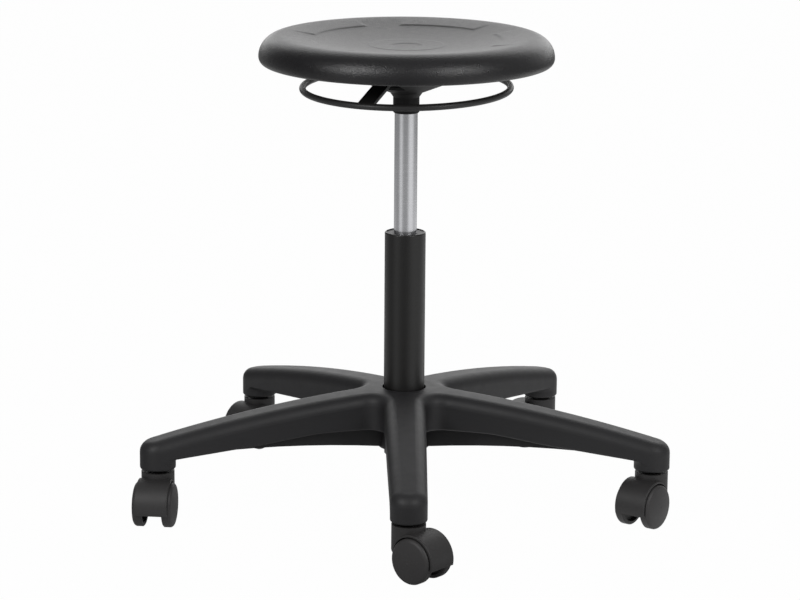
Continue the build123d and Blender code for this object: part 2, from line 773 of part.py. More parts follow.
SOCKET_FLOOR = NECK_TOP - JOURNAL_L - SIDE_GAP
SNAP_Z = NECK_TOP - SNAP_RING_DEPTH
GRIP_Z = BOSS_BOTTOM + STEM_GRIP_L - GRIP_RING_DEPTH - GRIP_RING_H
SNAP_INNER_R = JOURNAL_D / 2 - SNAP_RING_T / 2
SNAP_OUTER_R = JOURNAL_D / 2 + SNAP_RING_T / 2


def caster_stem():
    """Steel stem: grip end in the base, flange under the boss, journal in the hood."""
    grip_r = STEM_D / 2
    neck_r = grip_r - GRIP_RING_T - PRESS_GAP
    journal_r = JOURNAL_D / 2
    groove_r = SNAP_INNER_R - PRESS_GAP
    flange_r = STEM_FLANGE_D / 2
    flange_z = NECK_TOP + SIDE_GAP
    return turned(
        (0, NECK_TOP - JOURNAL_L),
        (journal_r, NECK_TOP - JOURNAL_L),
        (journal_r, SNAP_Z),
        (groove_r, SNAP_Z),
        (groove_r, SNAP_Z + SNAP_RING_H),
        (journal_r, SNAP_Z + SNAP_RING_H),
        (journal_r, flange_z),
        (flange_r, flange_z),
        (flange_r, BOSS_BOTTOM),
        (grip_r, BOSS_BOTTOM),
        (grip_r, GRIP_Z),
        (neck_r, GRIP_Z),
        (neck_r, GRIP_Z + GRIP_RING_H),
        (grip_r, GRIP_Z + GRIP_RING_H),
        (grip_r, BOSS_BOTTOM + STEM_GRIP_L),
        (0, BOSS_BOTTOM + STEM_GRIP_L),
    )


def grip_ring():
    """Split ring that grips the stem in its socket."""
    outer = STEM_D / 2
    band = ring(outer - GRIP_RING_T, outer, GRIP_Z + PRESS_GAP, GRIP_Z + GRIP_RING_H - PRESS_GAP)
    return split(band, RING_SPLIT, STEM_D)


def snap_ring():
    """Split ring on the stem's journal, in the hood's groove."""
    band = ring(SNAP_INNER_R, SNAP_OUTER_R, SNAP_Z + PRESS_GAP, SNAP_Z + SNAP_RING_H - PRESS_GAP)
    return split(band, RING_SPLIT, STEM_D)


def hood_side():
    """Side view of the room that the hood fills: under the chest, the throat and the tail it is open."""
    chest_x = -HOOD_W / 2
    throat = (CASTER_TRAIL - WHEEL_R, HOOD_THROAT_Z)
    tail_x = CASTER_TRAIL + FENDER_R
    return face_of(
        Polyline(
            (chest_x, NECK_TOP),
            (chest_x, HOOD_CHEST_Z),
            throat,
            (CASTER_TRAIL - AXLE_BOSS_D / 2, HOOD_TAIL_Z),
            (tail_x, HOOD_TAIL_Z),
            (tail_x, NECK_TOP),
            close=True,
        )
    )


def caster_hood():
    """Hood with a round neck, a fender over both wheels, a hollow tail, and the bores of stem and axle."""
    half = HOOD_W / 2
    reach = CASTER_TRAIL + FENDER_R
    plan = Circle(half) + Pos(reach / 2, 0) * Rectangle(reach, HOOD_W)
    fender = across(FENDER_R, half, CASTER_TRAIL, AXLE_Z)
    fender = fillet(fender.edges().filter_by(GeomType.CIRCLE), HOOD_EDGE) & extrude(plan, NECK_TOP)
    body = (fender + rod(half, 0, NECK_TOP)) & extrude(hood_side(), HOOD_W, both=True)
    web = WHEEL_FACE_Y - SIDE_GAP
    for side in (-1, 1):
        middle = side * (web + half / 2)
        body -= Pos(CASTER_TRAIL, middle, AXLE_Z) * Cylinder(WELL_R, half, rotation=(90, 0, 0))
    hollow = across(WELL_R, web - HOOD_SKIN, CASTER_TRAIL, AXLE_Z)
    hollow -= across(AXLE_BOSS_D / 2, web, CASTER_TRAIL, AXLE_Z)
    tail = Pos(CASTER_TRAIL + reach / 2, 0, 0) * Box(reach, HOOD_W, 2 * NECK_TOP)
    body -= hollow & tail
    body -= rod(JOURNAL_D / 2 + RUN_GAP, SOCKET_FLOOR, NECK_TOP)
    body -= rod(SNAP_OUTER_R + RUN_GAP, SNAP_Z - RUN_GAP, SNAP_Z + SNAP_RING_H + RUN_GAP)
    return body - across(AXLE_D / 2 + PRESS_GAP, HOOD_W, CASTER_TRAIL, AXLE_Z)


AXLE_END_Y = WHEEL_FACE_Y + WHEEL_W - WHEEL_DOME - WHEEL_ROUND - WHEEL_WEB


def caster_axle():
    """Steel axle through the hood's web."""
    return across(AXLE_D / 2, AXLE_END_Y, CASTER_TRAIL, AXLE_Z)


def caster_wheel(side):
    """Cup-shaped wheel with a domed face, open towards the hood, on the left (1) or the right (-1)."""
    low = WHEEL_FACE_Y
    top = low + WHEEL_W
    shoulder = top - WHEEL_DOME - WHEEL_ROUND
    rim_r = WHEEL_R - WHEEL_RIM
    hub_r = WHEEL_HUB_D / 2
    bore_r = AXLE_D / 2 + RUN_GAP
    floor = AXLE_END_Y + SIDE_GAP
    web = shoulder - WHEEL_WEB
    tread = (WHEEL_R, shoulder)
    dome = TangentArc((0, top), (WHEEL_R - WHEEL_ROUND, top - WHEEL_DOME), tangent=(1, 0))
    section = face_of(
        Polyline(
            (0, top),
            (0, floor),
            (bore_r, floor),
            (bore_r, low),
            (hub_r, low),
            (hub_r, web),
            (rim_r, web),
            (rim_r, low),
            (WHEEL_R - WHEEL_EDGE, low),
            (WHEEL_R, low + WHEEL_EDGE),
            tread,
        ),
        TangentArc(dome @ 1, tread, tangent=dome % 1),
        dome,
    )
    wheel = revolve(section, Axis.Z)
    return Pos(CASTER_TRAIL, 0, AXLE_Z) * Rot(-90 * side, 0, 0) * wheel


# Assembly

def in_lever_frame(shape):
    """Turn what is drawn along +X to the lever's heading."""
    return Rot(0, 0, LEVER_HEADING) * shape


def at_stems(shape):
    """One copy of a piece at each stem, as one group."""
    at_stem = Pos(STEM_CIRCLE_R, 0, 0) * shape
    return Compound(children=[Rot(0, 0, angle) * at_stem for angle in ARM_ANGLES])


nodes = {
    "star_base": star_base(),
    "column_tube": column_tube(),
    "column_end_plate": end_plate(),
    "guide_bush": guide_bush(),
    "bearing_lower_race": race(LOWER_RACE_Z, RUN_GAP + SIDE_GAP),
    "bearing_cage": bearing_cage(),
    "bearing_balls": bearing_balls(),
    "bearing_upper_race": race(UPPER_RACE_Z, PRESS_GAP),
    "rod_washer": rod_washer(),
    "retaining_clip": retaining_clip(),
    "rubber_buffer": rubber_buffer(),
    "piston_rod": piston_rod(),
    "piston": piston(),
    "piston_seal": piston_seal(),
    "gas_cylinder": gas_cylinder(),
    "rod_guide": rod_guide(),
    "rod_seal": rod_seal(),
    "valve_body": valve_body(),
    "valve_pin": valve_pin(),
    "seat_mount": in_lever_frame(seat_mount()),
    "mount_plate": in_lever_frame(mount_plate()),
    "lever_pivot_pin": in_lever_frame(lever_pivot_pin()),
    "release_strap": in_lever_frame(release_strap()),
    "release_ring": in_lever_frame(release_ring()),
    "seat_screws": in_lever_frame(at_bolts(seat_screw())),
    "seat_washers": in_lever_frame(at_bolts(seat_washer())),
    "threaded_inserts": in_lever_frame(at_bolts(threaded_insert())),
    "seat_board": in_lever_frame(seat_board()),
    "seat_cushion": seat_cushion(),
    "caster_stems": at_stems(caster_stem()),
    "stem_grip_rings": at_stems(grip_ring()),
    "stem_snap_rings": at_stems(snap_ring()),
}

CASTER_PIECES = {
    "hood": caster_hood(),
    "axle": caster_axle(),
    "wheel_left": caster_wheel(1),
    "wheel_right": caster_wheel(-1),
}
for angle, (place, heading) in zip(ARM_ANGLES, CASTER_HEADINGS.items()):
    stem = Rot(0, 0, angle) * Pos(STEM_CIRCLE_R, 0, 0)
    for piece, shape in CASTER_PIECES.items():
        nodes[f"caster_{place}_{piece}"] = stem * Rot(0, 0, heading - angle) * shape

os.makedirs("parts", exist_ok=True)
for name, shape in nodes.items():
    export_step(shape, f"parts/{name}.step")
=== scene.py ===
"""Rolling stool: the looks of the seat, column, base and casters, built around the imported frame."""

import json
from math import atan2, cos, hypot, pi, radians, sin

import bmesh
import bpy
from bpy.props import FloatProperty, FloatVectorProperty, IntProperty, PointerProperty
from mathutils import Matrix, Vector


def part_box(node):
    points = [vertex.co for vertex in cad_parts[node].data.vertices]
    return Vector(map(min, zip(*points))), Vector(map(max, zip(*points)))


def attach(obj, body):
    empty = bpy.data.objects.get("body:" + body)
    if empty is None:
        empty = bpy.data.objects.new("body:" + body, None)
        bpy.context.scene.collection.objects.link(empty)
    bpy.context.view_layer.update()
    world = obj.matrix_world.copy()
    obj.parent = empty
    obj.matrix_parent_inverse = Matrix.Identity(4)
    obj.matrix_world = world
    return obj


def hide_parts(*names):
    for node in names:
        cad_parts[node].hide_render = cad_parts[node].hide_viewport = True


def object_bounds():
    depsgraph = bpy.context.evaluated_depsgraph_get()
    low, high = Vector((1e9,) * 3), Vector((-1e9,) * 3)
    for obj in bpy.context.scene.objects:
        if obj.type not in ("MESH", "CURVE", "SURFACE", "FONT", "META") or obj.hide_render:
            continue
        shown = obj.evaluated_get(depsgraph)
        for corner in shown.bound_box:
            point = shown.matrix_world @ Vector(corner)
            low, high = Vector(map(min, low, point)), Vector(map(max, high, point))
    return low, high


bl_info = {
    "name": "Rolling Stool",
    "version": (1, 0, 0),
    "blender": (4, 5, 0),
    "location": "3D View > Sidebar > Stool",
    "description": "Dresses a packed rolling stool: foam seat, finishes and a studio",
    "category": "Object",
}

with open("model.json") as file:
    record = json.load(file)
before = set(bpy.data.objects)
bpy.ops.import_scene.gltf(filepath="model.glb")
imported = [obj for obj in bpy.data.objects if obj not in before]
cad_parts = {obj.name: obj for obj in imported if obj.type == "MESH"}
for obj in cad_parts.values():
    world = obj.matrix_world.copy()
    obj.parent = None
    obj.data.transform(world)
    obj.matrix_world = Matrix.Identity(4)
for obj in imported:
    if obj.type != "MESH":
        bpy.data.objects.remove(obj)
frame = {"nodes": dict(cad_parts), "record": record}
CAD_LOW, CAD_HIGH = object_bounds()
SEAT_LOW, SEAT_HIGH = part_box("seat_cushion")
BOARD_LOW, BOARD_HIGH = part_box("seat_board")
SEAT_RADIUS = (SEAT_HIGH.x - SEAT_LOW.x) / 2
BOARD_RADIUS = (BOARD_HIGH.x - BOARD_LOW.x) / 2
BOARD_THICKNESS = BOARD_HIGH.z - BOARD_LOW.z


def length(default, name, description):
    """A size in metres for a PropertyGroup."""
    return FloatProperty(name=name, description=description, default=default, unit="LENGTH", precision=4)


def angle(default, name, description):
    """An angle for a PropertyGroup, given in degrees."""
    return FloatProperty(name=name, description=description, default=radians(default), unit="ROTATION")


def share(default, name, description):
    """A share from 0 to 1 for a PropertyGroup."""
    return FloatProperty(
        name=name, description=description, default=default, min=0, max=1, subtype="FACTOR"
    )


def number(default, name, description):
    """A number without a unit, from 0 upwards, for a PropertyGroup."""
    return FloatProperty(name=name, description=description, default=default, min=0)


def colour(default, name, description):
    """A linear colour for a PropertyGroup."""
    return FloatVectorProperty(
        name=name, description=description, default=default, size=3, min=0, max=1, subtype="COLOR"
    )


class StoolSeatSizes(bpy.types.PropertyGroup):
    """Sizes of the foam seat"""

    waist: length(0.0085, "Waist height", "Height of the widest part above the underside")
    lip: length(0.007, "Lip", "How far the lower edge is drawn in")
    crest_radius: length(0.153, "Crest radius", "Radius of the highest part of the rim")
    thickness: length(0.0342, "Thickness", "Height of the crest above the underside")
    dish: length(0.0135, "Dish depth", "How far the middle lies below the crest")
    dish_round: number(20.0, "Dish round", "Power of the turn from dish to crest")
    pad_rise: length(0.0010, "Pad height", "How far the pads stand out of the dish")
    middle_rise: length(0.0007, "Middle height", "How far the ring in the middle stands out of the dish")
    pad_inner: length(0.114, "Pad inner radius", "Radius of the pads' inner edge")
    pad_edge: length(0.0045, "Pad edge", "Width of the slope round a pad")
    pad_count: IntProperty(name="Pads", description="Number of raised pads", default=5, min=1)
    pad_angle: angle(67.9, "Pad angle", "Direction of the first pad's middle")
    pad_span: angle(50.0, "Pad span", "Angle that a pad covers")
    middle_inner: length(0.018, "Middle inner radius", "Inner radius of the raised ring in the middle")
    middle_outer: length(0.046, "Middle outer radius", "Outer radius of the raised ring in the middle")
    steps: IntProperty(name="Steps", description="Steps of the turned form", default=432, min=12)


class StoolColours(bpy.types.PropertyGroup):
    """Colours of the finishes"""

    seat: colour((0.0112, 0.0108, 0.0120), "Seat skin", "Skin of the foam seat")
    nylon: colour((0.0150, 0.0147, 0.0160), "Nylon", "Moulded base")
    caster: colour((0.0255, 0.0242, 0.0246), "Casters", "Caster hoods")
    wheel: colour((0.033, 0.0313, 0.0319), "Wheels", "Caster wheels")
    tube: colour((0.0052, 0.0049, 0.0046), "Column tube", "Powder coat of the tube")
    cylinder: colour((0.80, 0.805, 0.83), "Gas cylinder", "Satin grey of the gas cylinder")
    # On the caster stems this near-black is painted shade, standing in for the shadow gap between each base
    # boss and hood neck
    mount: colour((0.005, 0.005, 0.0051), "Mount", "Paint of the seat mount and the caster stems")
    lever: colour((0.027, 0.027, 0.0272), "Lever", "Paint of the ring and its strap")
    steel: colour((0.52, 0.52, 0.52), "Steel", "Plated steel of the fittings")
    bush: colour((0.018, 0.018, 0.019), "Bush", "Plastic of the bushes")
    rubber: colour((0.014, 0.014, 0.014), "Rubber", "Seals and the buffer")
    wood: colour((0.055, 0.038, 0.024), "Board", "Stained plywood of the seat's board")
    brass: colour((0.58, 0.42, 0.16), "Brass", "Threaded inserts")


class StoolStudio(bpy.types.PropertyGroup):
    """Camera and lights"""

    turn: angle(-1.11, "Turn", "Turn of the camera about the column")
    aside: length(-0.0058, "Aside", "The camera's place to the side of the column")
    distance: length(3.869, "Distance", "The camera's distance from the column")
    height: length(1.157, "Height", "The camera's height above the floor")
    pitch: angle(13.15, "Pitch", "How far the camera looks down")
    roll: angle(0.43, "Roll", "How far the camera leans")
    lens: FloatProperty(name="Lens", description="Focal length", default=145.98, unit="CAMERA")
    white: share(0.985, "White floor", "How far the floor shows as plain white")
    mirrored: share(0.8, "Mirrored floor", "How far reflections show the floor's own glow")
    floor_glow: number(0.235, "Floor glow", "Brightness of the floor in reflections")
    near_floor: length(1.2, "Near floor", "How far the light floor reaches from the column")
    floor_back: number(0.36, "Floor back", "Brightness that the near floor gains behind the stool")
    left_pool_turn: angle(-49.0, "Left pool turn", "Direction of the pool of light at the left")
    left_pool: number(0.48, "Left pool", "Brightness that the floor gains at the left")
    right_pool_turn: angle(53.0, "Right pool turn", "Direction of the pool of light at the right")
    right_pool: number(0.60, "Right pool", "Brightness that the floor gains at the right")
    side_turn: angle(112.0, "Side turn", "Direction of the light floor at the right")
    side_pool: number(0.50, "Side pool", "Brightness that the near floor gains at the right")
    front_glow: number(0.34, "Room glow", "Brightness of the room round the stool")
    left_dim: share(0.35, "Left dim", "Share of the room's brightness that is left at the left")
    back_glow: number(1.33, "Back glow", "Brightness that the backdrop adds behind the stool")
    back_turn: angle(7.0, "Back turn", "Direction of the backdrop's middle from straight behind the stool")
    lamp_distance: length(3.0, "Lamp distance", "Distance of the two softboxes from the column")
    lamp_height: length(2.15, "Lamp height", "Height of the softboxes' middles")
    lamp_tall: length(1.6, "Lamp tall", "Height of the softboxes")
    left_turn: angle(-42.0, "Left turn", "Direction of the left softbox from the camera's side")
    left_wide: length(0.6, "Left wide", "Width of the left softbox")
    left_power: number(44.0, "Left power", "Power of the left softbox")
    right_turn: angle(42.0, "Right turn", "Direction of the right softbox from the camera's side")
    right_wide: length(0.8, "Right wide", "Width of the right softbox")
    right_power: number(32.0, "Right power", "Power of the right softbox")


class Value:
    """A shader socket that takes part in Python arithmetic."""

    def __init__(self, tree, socket):
        self.tree = tree
        self.socket = socket

    def math(self, operation, *others):
        """One Math node on this value and others."""
        return self.tree.add("ShaderNodeMath", {"operation": operation}, dict(enumerate((self, *others))))

    def __add__(self, other):
        return self.math("ADD", other)

    def __sub__(self, other):
        return self.math("SUBTRACT", other)

    def __rsub__(self, other):
        return self.math("MULTIPLY_ADD", -1.0, other)

    def __mul__(self, other):
        return self.math("MULTIPLY", other)

    __radd__ = __add__
    __rmul__ = __mul__

    def unsigned(self):
        """The value without its sign."""
        return self.math("ABSOLUTE")

    def ramp(self, low, high):
        """0 below low, 1 above high, and a smooth rise between them."""
        return self.tree.add(
            "ShaderNodeMapRange",
            {"interpolation_type": "SMOOTHSTEP"},
            {"Value": self, "From Min": low, "From Max": high},
        )


class Tree:
    """A node tree under construction."""

    def __init__(self, owner):
        owner.use_nodes = True
        self.nodes = owner.node_tree.nodes
        self.links = owner.node_tree.links

    def feed(self, socket, value):
        """Links a value to a socket, or sets the socket to a number, vector or colour."""
        if isinstance(value, Value):
            self.links.new(value.socket, socket)
        else:
            socket.default_value = value

    def add(self, kind, settings=None, inputs=None, output=0):
        """A node of some kind, with its inputs by name or number, as the value of one of its outputs."""
        node = self.nodes.new(kind)
        for name, setting in (settings or {}).items():
            setattr(node, name, setting)
        for name, value in (inputs or {}).items():
            self.feed(node.inputs[name], value)
        return Value(self, node.outputs[output])

    def rays(self, kind):
        """1 for rays of one kind, and 0 for the others."""
        return self.add("ShaderNodeLightPath", output=f"Is {kind} Ray")

    def seen(self):
        """1 where the camera looks, straight or through something clear."""
        return self.rays("Camera").math("MAXIMUM", self.rays("Transmission"))

    def where(self, axis, space="Object"):
        """One coordinate of the place, or of the direction in a world."""
        place = self.add("ShaderNodeTexCoord", output=space)
        return self.add("ShaderNodeSeparateXYZ", None, {"Vector": place}, output=axis)

    def radius(self):
        """Distance from the column's axis."""
        across = self.where("X")
        along = self.where("Y")
        return (across * across + along * along).math("SQRT")


class Finish(Tree):
    """A material under construction."""

    def __init__(self, name):
        self.material = bpy.data.materials.new(name)
        super().__init__(self.material)
        self.shader = self.nodes["Principled BSDF"]

    def place(self, scale=(1, 1, 1)):
        """Object coordinates, stretched along the axes."""
        where = self.add("ShaderNodeTexCoord", output="Object")
        return self.add("ShaderNodeMapping", None, {"Vector": where, "Scale": scale})

    def noise(self, size, detail=3.0, roughness=0.5, stretch=(1, 1, 1)):
        """Noise whose lumps are about as large as size, in metres."""
        place = self.place(stretch)
        inputs = {"Vector": place, "Scale": 1 / size, "Detail": detail, "Roughness": roughness}
        return self.add("ShaderNodeTexNoise", None, inputs)

    def cells(self, size):
        """Distance to the middle of the nearest grain cell, in cells about as large as size."""
        inputs = {"Vector": self.place(), "Scale": 1 / size}
        return self.add("ShaderNodeTexVoronoi", None, inputs, output="Distance")

    def tint(self, dark, light, amount):
        """A colour between two colours."""
        inputs = {"Fac": amount, "Color1": (*dark, 1), "Color2": (*light, 1)}
        return self.add("ShaderNodeMixRGB", None, inputs)

    def bump(self, height, depth):
        """A bump of some depth, in metres, on the shader's normal."""
        inputs = {"Height": height, "Strength": 1.0, "Distance": depth}
        self.set(Normal=self.add("ShaderNodeBump", None, inputs))

    def set(self, **values):
        """Feeds the shader's sockets, whose names are given with _ for a space."""
        for name, value in values.items():
            self.feed(self.shader.inputs[name.replace("_", " ")], value)


def shade(tone, factor):
    """A lighter or darker shade of a colour."""
    return tuple(min(1.0, part * factor) for part in tone)


def moulded_skin(name, tone, crest, rim):
    """Skin of moulded foam: a fine pebbled grain, dull on the top and shinier on the rim."""
    top_roughness = 0.37
    rim_polish = 0.13
    patchiness = 0.10
    grain_depth = 0.00022
    skin = Finish(name)
    pebbles = skin.cells(0.0017)
    pores = skin.noise(0.0005)
    cloud = skin.noise(0.03)
    patches = skin.noise(0.006)
    polished = skin.radius().ramp(crest, rim)
    skin.set(
        Base_Color=skin.tint(shade(tone, 0.85), shade(tone, 1.2), cloud),
        Roughness=top_roughness - rim_polish * polished + patchiness * patches,
        Specular_IOR_Level=0.5,
    )
    skin.bump(pebbles + 0.6 * pores, grain_depth)
    return skin.material


def moulded_nylon(name, tone, roughness, shine=0.5):
    """Glass-filled nylon: a fine spark-eroded grain, faint flow marks and a low sheen."""
    patchiness = 0.12
    grain_depth = 0.00010
    nylon = Finish(name)
    flow = nylon.noise(0.05, detail=4.0, stretch=(1, 1, 2.5))
    speckle = nylon.noise(0.0009, detail=2.0)
    patches = nylon.noise(0.012)
    nylon.set(
        Base_Color=nylon.tint(shade(tone, 0.8), shade(tone, 1.3), 0.6 * flow + 0.4 * speckle),
        Roughness=roughness + patchiness * patches,
        Specular_IOR_Level=shine,
    )
    nylon.bump(speckle, grain_depth)
    return nylon.material


def powder_coat(name, tone, roughness, peel, shine=0.5):
    """Paint on steel with a slight orange peel, whose lumps are about as large as peel."""
    patchiness = 0.08
    peel_depth = 0.00008
    coat = Finish(name)
    cloud = coat.noise(0.02)
    patches = coat.noise(0.008)
    coat.set(
        Base_Color=coat.tint(shade(tone, 0.85), shade(tone, 1.2), cloud),
        Roughness=roughness + patchiness * patches,
        Specular_IOR_Level=shine,
    )
    coat.bump(coat.noise(peel, detail=1.0), peel_depth)
    return coat.material


def drawn_steel(name, tone, roughness, lines, metal=1.0):
    """Steel with fine turned lines round it, spaced along Z, bare or dulled by a lacquer."""
    patchiness = 0.10
    line_depth = 0.00002
    steel = Finish(name)
    turning = steel.noise(lines, detail=2.0, stretch=(0.02, 0.02, 1))
    patches = steel.noise(0.01)
    steel.set(
        Base_Color=steel.tint(shade(tone, 0.9), shade(tone, 1.1), turning),
        Roughness=roughness + patchiness * patches + 0.06 * turning,
        Metallic=metal,
    )
    steel.bump(turning, line_depth)
    return steel.material


def soft_rubber(name, tone):
    """Matt rubber with a dusty bloom."""
    grain_depth = 0.00006
    rubber = Finish(name)
    bloom = rubber.noise(0.004)
    rubber.set(
        Base_Color=rubber.tint(tone, shade(tone, 1.6), bloom),
        Roughness=0.70 + 0.15 * bloom,
    )
    rubber.bump(rubber.noise(0.0008), grain_depth)
    return rubber.material


def plywood(name, tone):
    """Face veneer with long grain along X."""
    grain_depth = 0.00015
    wood = Finish(name)
    grain = wood.noise(0.004, detail=5.0, roughness=0.6, stretch=(0.06, 1, 1))
    bands = wood.noise(0.03, detail=2.0, stretch=(0.1, 1, 1))
    wood.set(
        Base_Color=wood.tint(shade(tone, 0.6), shade(tone, 1.25), 0.6 * grain + 0.4 * bands),
        Roughness=0.60 + 0.15 * grain,
    )
    wood.bump(grain, grain_depth)
    return wood.material


def dress(material, *names):
    """Gives CAD nodes a finish."""
    for name in names:
        for slot in frame["nodes"][name].material_slots:
            slot.material = material


def nodes_ending(*endings):
    """The CAD nodes whose names have one of these endings."""
    return [name for name in frame["nodes"] if name.endswith(endings)]


def new_piece(name, bm, material):
    """A finished mesh object with smooth faces, from a bmesh in the part's frame."""
    mesh = bpy.data.meshes.new(name)
    for face in bm.faces:
        face.smooth = True
    bm.to_mesh(mesh)
    bm.free()
    mesh.materials.append(material)
    piece = bpy.data.objects.new(name, mesh)
    bpy.context.scene.collection.objects.link(piece)
    return piece


def quarter(centre, across, up, start, count):
    """Points of a quarter ellipse as (radius, height), from an angle in degrees onwards."""
    turns = [radians(start + 90 * k / count) for k in range(count + 1)]
    return [(centre[0] + across * cos(turn), centre[1] + up * sin(turn)) for turn in turns]


def ease(x):
    """A smooth step from 0 to 1."""
    x = min(1.0, max(0.0, x))
    return x * x * (3 - 2 * x)


class STOOL_OT_seat_cushion(bpy.types.Operator):
    """Turn the foam seat with its dish and raised relief"""

    bl_idname = "stool.seat_cushion"
    bl_label = "Seat Cushion"
    # Room round the board, and slack below the lowest place of the dish
    board_room = 0.0003
    dish_slack = 0.0001
    # Fineness of the form: spacing of the dish's rings, steps of the lower lip and of the rim above it
    merge_distance = 1e-6
    ring_spacing = 0.0011
    lip_steps = 8
    rim_steps = 24

    def profile(self, sizes):
        """Half section from the board's pocket round the rim to the middle of the dish."""
        low = SEAT_LOW.z
        waist = low + sizes.waist
        crest = low + sizes.thickness
        ceiling = low + BOARD_THICKNESS + self.board_room
        pocket = BOARD_RADIUS + self.board_room
        rim = SEAT_RADIUS - sizes.crest_radius
        points = [(0, ceiling), (pocket / 2, ceiling), (pocket, ceiling), (pocket, low)]
        points += quarter((SEAT_RADIUS - sizes.lip, waist), sizes.lip, sizes.waist, -90, self.lip_steps)
        points += quarter((sizes.crest_radius, waist), rim, crest - waist, 0, self.rim_steps)[1:]
        rings = round(sizes.crest_radius / self.ring_spacing)
        for k in range(1, rings + 1):
            out = 1 - k / rings
            points.append((sizes.crest_radius * out, crest - sizes.dish * self.sunk(sizes, out)))
        return points

    def sunk(self, sizes, out):
        """Share of the dish's depth at a share of the crest's radius: a bowl that ends level there."""
        turn = sizes.dish_round
        return 1 - (turn * out**2 - 2 * out**turn) / (turn - 2)

    def relief(self, sizes, r, turn):
        """Height of the relief at a radius and a direction."""
        edge = sizes.pad_edge
        step = 2 * pi / sizes.pad_count
        off = abs((turn - sizes.pad_angle + step / 2) % step - step / 2)
        beside = r * (sizes.pad_span / 2 - off)
        inside = ease(min(r - sizes.pad_inner, beside) / edge + 0.5)
        fading = ease((sizes.crest_radius - r) / (sizes.crest_radius - sizes.pad_inner))
        middle = ease(min(r - sizes.middle_inner, sizes.middle_outer - r) / edge + 0.5)
        return max(sizes.pad_rise * inside * fading, sizes.middle_rise * middle)

    def execute(self, context):
        sizes = context.scene.stool_seat
        bm = bmesh.new()
        verts = [bm.verts.new((r, 0, z)) for r, z in self.profile(sizes)]
        edges = [bm.edges.new(pair) for pair in zip(verts, verts[1:])]
        bmesh.ops.spin(
            bm,
            geom=verts + edges,
            cent=(0, 0, 0),
            axis=(0, 0, 1),
            angle=2 * pi,
            steps=sizes.steps,
            use_merge=True,
        )
        bmesh.ops.remove_doubles(bm, verts=bm.verts, dist=self.merge_distance)
        bmesh.ops.recalc_face_normals(bm, faces=bm.faces)
        dish_floor = SEAT_LOW.z + sizes.thickness - sizes.dish - self.dish_slack
        for vert in bm.verts:
            r = hypot(vert.co.x, vert.co.y)
            if vert.co.z > dish_floor and r < sizes.crest_radius:
                vert.co.z += self.relief(sizes, r, atan2(vert.co.y, vert.co.x))
        tone = context.scene.stool_colours.seat
        skin = moulded_skin("seat_skin", tone, sizes.crest_radius, SEAT_RADIUS - sizes.lip)
        cushion = new_piece("seat_cushion_foam", bm, skin)
        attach(cushion, "seat")
        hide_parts("seat_cushion")
        return {"FINISHED"}


class STOOL_OT_mount_and_lever(bpy.types.Operator):
    """Finish the seat mount, the release ring and its strap, and the seat's fittings"""

    bl_idname = "stool.mount_and_lever"
    bl_label = "Mount and Lever"

    def execute(self, context):
        colours = context.scene.stool_colours
        mount_paint = powder_coat("mount_paint", colours.mount, roughness=0.52, peel=0.002, shine=0.3)
        lever_paint = powder_coat("lever_paint", colours.lever, roughness=0.38, peel=0.0016)
        brass = drawn_steel("insert_brass", colours.brass, roughness=0.30, lines=0.0006)
        dress(mount_paint, "seat_mount", "mount_plate")
        dress(lever_paint, "release_strap", "release_ring")
        dress(plywood("board_veneer", colours.wood), "seat_board")
        dress(brass, "threaded_inserts")
        return {"FINISHED"}


class STOOL_OT_column(bpy.types.Operator):
    """Finish the column tube, the gas cylinder, the bushes and the parts inside them"""

    bl_idname = "stool.column"
    bl_label = "Column"

    def execute(self, context):
        colours = context.scene.stool_colours
        tube_paint = powder_coat("tube_paint", colours.tube, roughness=0.35, peel=0.0014, shine=0.6)
        satin = drawn_steel("cylinder_steel", colours.cylinder, roughness=0.18, lines=0.0005, metal=0.94)
        bush_plastic = moulded_nylon("bush_plastic", colours.bush, roughness=0.42)
        dress(tube_paint, "column_tube")
        dress(satin, "gas_cylinder")
        dress(bush_plastic, "guide_bush", "rod_guide")
        dress(soft_rubber("seal_rubber", colours.rubber), "rubber_buffer", "piston_seal", "rod_seal")
        return {"FINISHED"}


class STOOL_OT_base(bpy.types.Operator):
    """Finish the moulded star base"""

    bl_idname = "stool.base"
    bl_label = "Star Base"

    def execute(self, context):
        colours = context.scene.stool_colours
        dress(moulded_nylon("base_nylon", colours.nylon, roughness=0.48, shine=0.45), "star_base")
        return {"FINISHED"}


class STOOL_OT_casters(bpy.types.Operator):
    """Finish the caster hoods and wheels"""

    bl_idname = "stool.casters"
    bl_label = "Casters"

    def execute(self, context):
        colours = context.scene.stool_colours
        hood_nylon = moulded_nylon("hood_nylon", colours.caster, roughness=0.46)
        wheel_nylon = moulded_nylon("wheel_nylon", colours.wheel, roughness=0.46)
        # The caster stems take the mount's near-black as painted shade for the shadow gap between each boss
        # and hood neck
        stem_painted_shade = powder_coat("stem_painted_shade", colours.mount, roughness=0.5, peel=0.001)
        dress(hood_nylon, *nodes_ending("_hood"))
        dress(wheel_nylon, *nodes_ending("_wheel_left", "_wheel_right"))
        dress(stem_painted_shade, "caster_stems")
        return {"FINISHED"}


class STOOL_OT_steel_fittings(bpy.types.Operator):
    """Finish the plated steel fittings"""

    bl_idname = "stool.steel_fittings"
    bl_label = "Steel Fittings"

    def execute(self, context):
        colours = context.scene.stool_colours
        parts = frame["record"]["subparts"]
        plated = [part["node"] for part in parts if part["material_slot"] == "plain_steel"]
        dress(drawn_steel("plated_steel", colours.steel, roughness=0.28, lines=0.0008), *plated)
        return {"FINISHED"}


